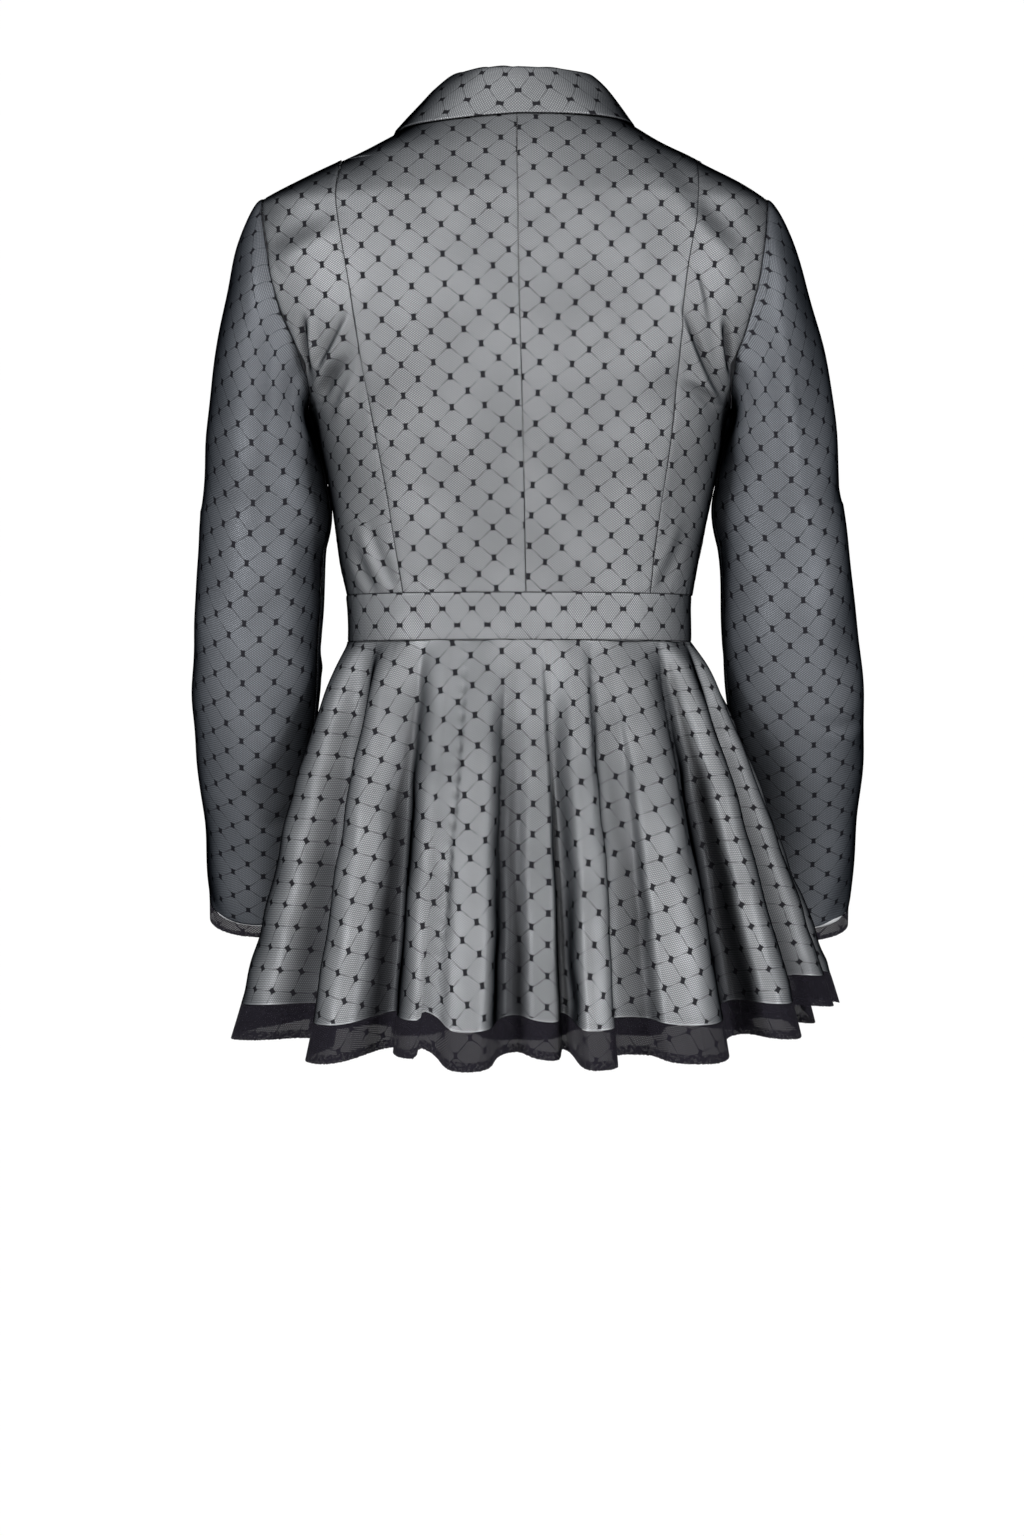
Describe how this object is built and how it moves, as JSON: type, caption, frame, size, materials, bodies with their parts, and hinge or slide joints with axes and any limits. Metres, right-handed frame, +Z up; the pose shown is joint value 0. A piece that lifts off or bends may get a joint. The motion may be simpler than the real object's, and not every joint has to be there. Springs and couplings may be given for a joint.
{
  "type": "peplum jacket",
  "caption": "Long-sleeved fitted jacket with a turned-down collar, a waistband and a flared peplum, in net over satin, in its worn hollow form.",
  "frame": {"origin": "inside the neck opening at shoulder height, level with the nape, where the wearer carries the jacket", "axes": "+Z up, +Y out of the back, +X to the wearer's left"},
  "size_m": [0.5571, 0.4022, 0.8073],
  "materials": {
    "net_over_satin": "fine black net with a small lattice and dots, mounted on light grey satin",
    "black_net": "sheer black net, folded and stitched at its hem"
  },
  "bodies": {
    "root": {"back_left": "net_over_satin", "back_right": "net_over_satin", "side_back_left": "net_over_satin", "side_back_right": "net_over_satin", "front_left": "net_over_satin", "front_right": "net_over_satin", "sleeve_left": "net_over_satin", "sleeve_right": "net_over_satin", "collar": "net_over_satin", "waistband": "net_over_satin", "peplum": "net_over_satin", "cuff_net_left": "black_net", "cuff_net_right": "black_net", "peplum_net_hem": "black_net"}
  },
  "joints": []
}
